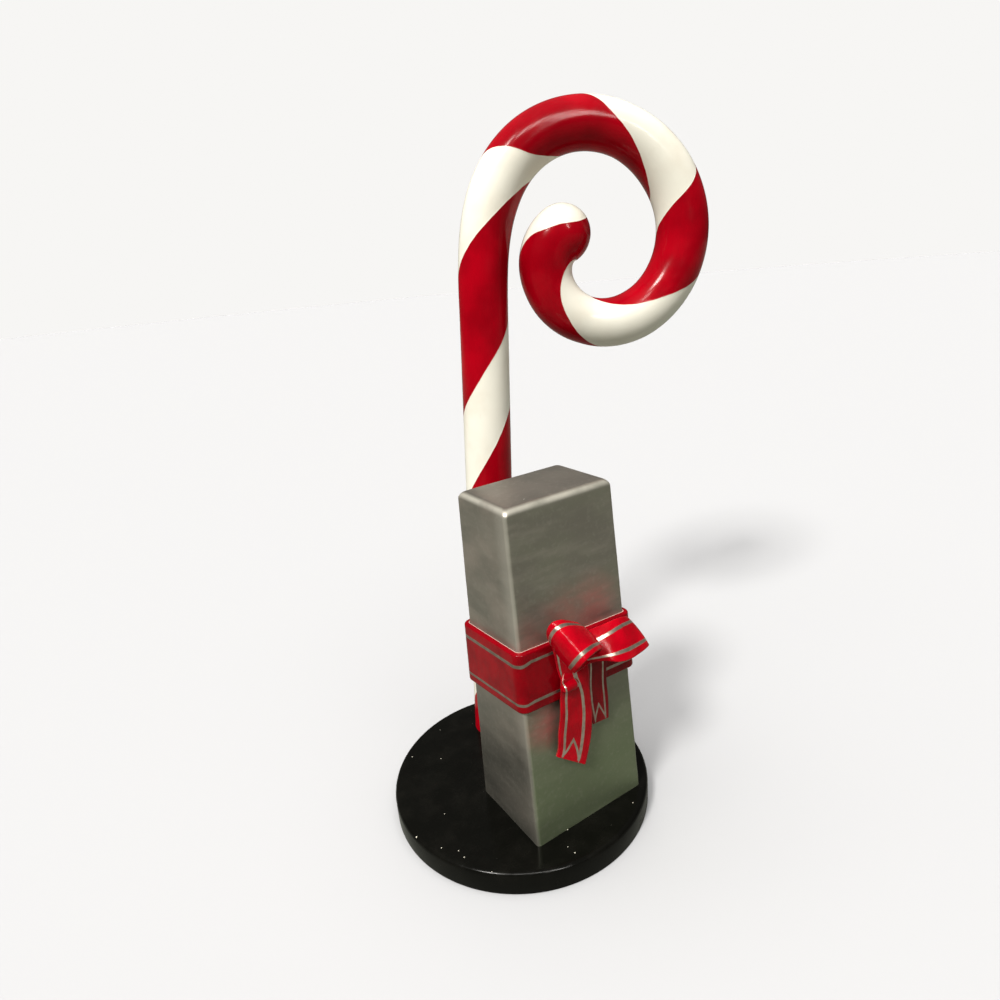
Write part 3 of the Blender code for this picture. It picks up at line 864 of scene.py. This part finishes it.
def make_knot(finish):
    """Short roll of ribbon drawn tight across the middle of the bow, with a line round each end."""
    start, end = (front_face_point(place) for place in KNOT_ENDS)
    axis = (end - start).normalized()
    side = axis.cross(Vector((0.0, 0.0, 1.0))).normalized()
    up = side.cross(axis)
    rows, uvs = [], []
    for k in range(KNOT_ALONG + 1):
        along = -math.cos(math.pi * k / KNOT_ALONG) * KNOT_REACH
        share = 0.5 + 0.5 * along
        full = math.sqrt(1 - abs(along) ** KNOT_POWER)
        row, marks = [], []
        for turn in range(KNOT_AROUND + 1):
            around = math.tau * turn / KNOT_AROUND
            fold = 0.5 + 0.5 * math.cos(KNOT_FOLDS * around + KNOT_TWIST * along)
            radius = KNOT_RADIUS * full * (1 - KNOT_FOLD * fold)
            row.append(start.lerp(end, share) + radius * (side * math.cos(around) + up * math.sin(around)))
            marks.append((line_place(share, KNOT_LINES), PLAIN_RIBBON + KNOT_PLACE_STEP * turn))
        rows.append(row[:-1])
        uvs.append(marks)
    bm = bmesh.new()
    close_ends(bm, grid(bm, rows, uvs, wrap_columns=True))
    from_bmesh("bow_knot", bm, finish, "bow")


def cane_rings():
    """Centre, heading, radius and distance up the cane of each ring, and the curl's normal."""
    side = Vector((math.cos(CURL_HEADING), -math.sin(CURL_HEADING), 0.0))
    side = (side - STEM_LEAN * side.dot(STEM_LEAN)).normalized()

    def heading_at(turned):
        return STEM_LEAN * math.cos(turned) + side * math.sin(turned)

    rings = []
    stem_steps = round(STEM_LENGTH / CANE_STEP)
    for index in range(stem_steps + 1):
        length = STEM_LENGTH * index / stem_steps
        rings.append((STEM_FOOT + STEM_LEAN * length, STEM_LEAN, CURL_RADII[0], length))
    position = rings[-1][0]
    steps = round(CURL_LENGTH / CANE_STEP)
    step = CURL_LENGTH / steps
    turned = 0.0
    for index in range(steps):
        turn = between(CURL_BENDS, (index + 0.5) / steps) * step
        position = position + heading_at(turned + turn / 2) * step
        turned += turn
        radius = between(CURL_RADII, (index + 1) / steps)
        rings.append((position, heading_at(turned), radius, STEM_LENGTH + step * (index + 1)))
    heading = heading_at(turned)
    end_radius = CURL_RADII[-1]
    for ring in range(1, TIP_RINGS + 1):
        a = math.pi / 2 * ring / (TIP_RINGS + 0.5)
        reach = end_radius * math.sin(a)
        rings.append((position + heading * reach, heading, end_radius * math.cos(a),
                      STEM_LENGTH + CURL_LENGTH + reach))
    return rings, STEM_LEAN.cross(side).normalized()


def stripe_angle(stations, length):
    """Degrees round the cane at a distance up it, on a smooth line through the stations."""
    index = 0
    while index < len(stations) - 2 and stations[index + 1][0] < length:
        index += 1

    def slope(at):
        low, high = max(at - 1, 0), min(at + 1, len(stations) - 1)
        return (stations[high][1] - stations[low][1]) / (stations[high][0] - stations[low][0])

    (x0, y0), (x1, y1) = stations[index], stations[index + 1]
    span = x1 - x0
    t = max(0.0, min(1.0, (length - x0) / span))
    return ((1 + 2 * t) * (1 - t) ** 2 * y0 + t * (1 - t) ** 2 * span * slope(index)
            + t * t * (3 - 2 * t) * y1 + t * t * (t - 1) * span * slope(index + 1))


def make_cane(finish):
    """Stem and curl as one tube, whose texture places say where its stripes wind.

    The first layer counts turns back from the red stripe's start, and the second holds its width.
    """
    rings, curl_normal = cane_rings()
    floor = BASE_THICKNESS + GAP
    rows, uvs, widths = [], [], []
    for index, (centre, heading, radius, length) in enumerate(rings):
        outward = curl_normal.cross(heading).normalized()
        red_start = stripe_angle(RED_STARTS, length)
        red_end = stripe_angle(RED_ENDS, length)
        row, marks = [], []
        for k in range(CANE_SIDES + 1):
            degrees = 360.0 * k / CANE_SIDES
            a = math.radians(degrees)
            p = centre + (outward * math.cos(a) + curl_normal * math.sin(a)) * (radius - CANE_TRIM)
            if p.z < floor or index == 0:
                p = p + heading * ((floor - p.z) / heading.z)
            row.append(p)
            marks.append(((red_start - degrees) / 360.0, length))
        rows.append(row[:-1])
        uvs.append(marks)
        widths.append(((red_start - red_end) % 360.0) / 360.0)
    bm = bmesh.new()
    verts = grid(bm, rows, uvs, wrap_columns=True, uv_name="stripe")
    close_ends(bm, verts)
    second = bm.loops.layers.uv.new("stripe_width")
    first = bm.loops.layers.uv["stripe"]
    ring_of = {vert: index for index, ring in enumerate(verts) for vert in ring}
    for face in bm.faces:
        for loop in face.loops:
            loop[second].uv = (widths[ring_of[loop.vert]], 0.0)
    for cap, index in zip(list(bm.faces)[-2:], (0, -1)):
        for loop in cap.loops:
            loop[first].uv = uvs[index][verts[index].index(loop.vert)]
    from_bmesh("striped_cane", bm, finish, "candy_cane")


def sun_light(name, towards, size, strength, shading=True, glints=True):
    """Large soft light, far enough away to light the floor evenly."""
    light = bpy.data.lights.new(name, "SUN")
    light.energy = strength
    light.angle = math.radians(size)
    light.color = WARM
    obj = bpy.data.objects.new(name, light)
    obj.rotation_mode = "QUATERNION"
    obj.rotation_quaternion = Vector(towards).to_track_quat("Z", "Y")
    obj.visible_diffuse = shading
    obj.visible_glossy = glints
    bpy.context.scene.collection.objects.link(obj)


def make_floor():
    """Plain floor, paler to the eye than in the light it throws back on the object."""
    bm = bmesh.new()
    bmesh.ops.create_circle(bm, cap_ends=True, radius=FLOOR_RADIUS, segments=FLOOR_SIDES)
    mesh = bpy.data.meshes.new("floor")
    bm.to_mesh(mesh)
    bm.free()
    s = Shader("floor_paint", 0.9, specular=0.0)
    seen = s.node("ShaderNodeLightPath", {}).outputs["Is Camera Ray"]
    s.set("Base Color", s.mix(seen, FLOOR_UNSEEN, FLOOR_SEEN))
    mesh.materials.append(s.material)
    floor = bpy.data.objects.new("floor", mesh)
    floor.location.z = -FLOOR_DROP
    bpy.context.scene.collection.objects.link(floor)


def make_surround():
    """Pale surround, with its light coming mostly from above and dimmed in the gloss."""
    world = bpy.data.worlds.new("studio")
    bpy.context.scene.world = world
    world.use_nodes = True
    n = Nodes(world.node_tree)
    direction = n.node("ShaderNodeTexCoord", {}).outputs["Generated"]
    inputs = {"Value": n.parts(direction)[2], "To Min": SKY_LOW, "To Max": SKY_HIGH}
    light = n.node("ShaderNodeMapRange", inputs).outputs[0]
    path = n.node("ShaderNodeLightPath", {}).outputs
    dimmed = n.times(light, n.math("MULTIPLY_ADD", path["Is Glossy Ray"], -SKY_DIM, 1.0))
    strength = n.node("ShaderNodeMix", {0: path["Is Camera Ray"], 2: dimmed, 3: SKY_SEEN})
    background = world.node_tree.nodes["Background"]
    n.put(background.inputs["Strength"], strength.outputs[0])
    n.put(background.inputs["Color"], SKY_COLOUR)


def make_stage():
    make_floor()
    make_surround()
    sun_light("key", *KEY)
    sun_light("overhead", *OVERHEAD, glints=False)
    for index, towards in enumerate(STREAK):
        sun_light(f"streak_{index}", towards, STREAK_SIZE, STREAK_STRENGTH, shading=False)


def make_camera():
    """Camera at the photograph's place and angle, rolled a little to one side."""
    level = math.cos(CAMERA_PITCH)
    ahead = Vector((math.sin(CAMERA_TURN) * level, math.cos(CAMERA_TURN) * level, -math.sin(CAMERA_PITCH)))
    right = Vector((math.cos(CAMERA_TURN), -math.sin(CAMERA_TURN), 0.0))
    up = right.cross(ahead)
    rolled_right = math.cos(CAMERA_ROLL) * right + math.sin(CAMERA_ROLL) * up
    rolled_up = -math.sin(CAMERA_ROLL) * right + math.cos(CAMERA_ROLL) * up
    camera = bpy.data.cameras.new("camera")
    camera.sensor_width = CAMERA_SENSOR
    camera.lens = CAMERA_LENS
    obj = bpy.data.objects.new("camera", camera)
    matrix = Matrix((rolled_right, rolled_up, -ahead)).transposed().to_4x4()
    matrix.translation = CAMERA_PLACE
    obj.matrix_world = matrix
    bpy.context.scene.collection.objects.link(obj)
    bpy.context.scene.camera = obj


def main():
    make_base(black_paint())
    make_box(silver_paint())
    # The band's paint is a darker copy of the ribbon paint: painted shade
    make_band(ribbon_paint("band_paint", line_half=0.026, tone=0.66, line_tone=0.62))
    # The bow's paint is a lighter copy of the ribbon paint: painted light
    bow = ribbon_paint("bow_paint", line_half=0.040, tone=1.25)
    make_loop("bow_left_loop", LEFT_LOOP, LEFT_LINES, bow)
    make_loop("bow_right_loop", RIGHT_LOOP, RIGHT_LINES, bow)
    make_strip("bow_flap", FLAP, FLAP_LINES, bow)
    make_strip("bow_long_tail", LONG_TAIL, LONG_LINES, bow, tail_end=True)
    # The short tail's paint is a darker copy: painted shade, where the bow shades it
    shadowed = ribbon_paint("shaded_ribbon_paint", line_half=0.040, tone=0.6, line_tone=0.75)
    make_strip("bow_short_tail", SHORT_TAIL, SHORT_LINES, shadowed, tail_end=True)
    make_knot(bow)
    make_cane(cane_paint())
    make_stage()
    make_camera()
    bpy.context.scene.view_settings.view_transform = "Standard"


main()
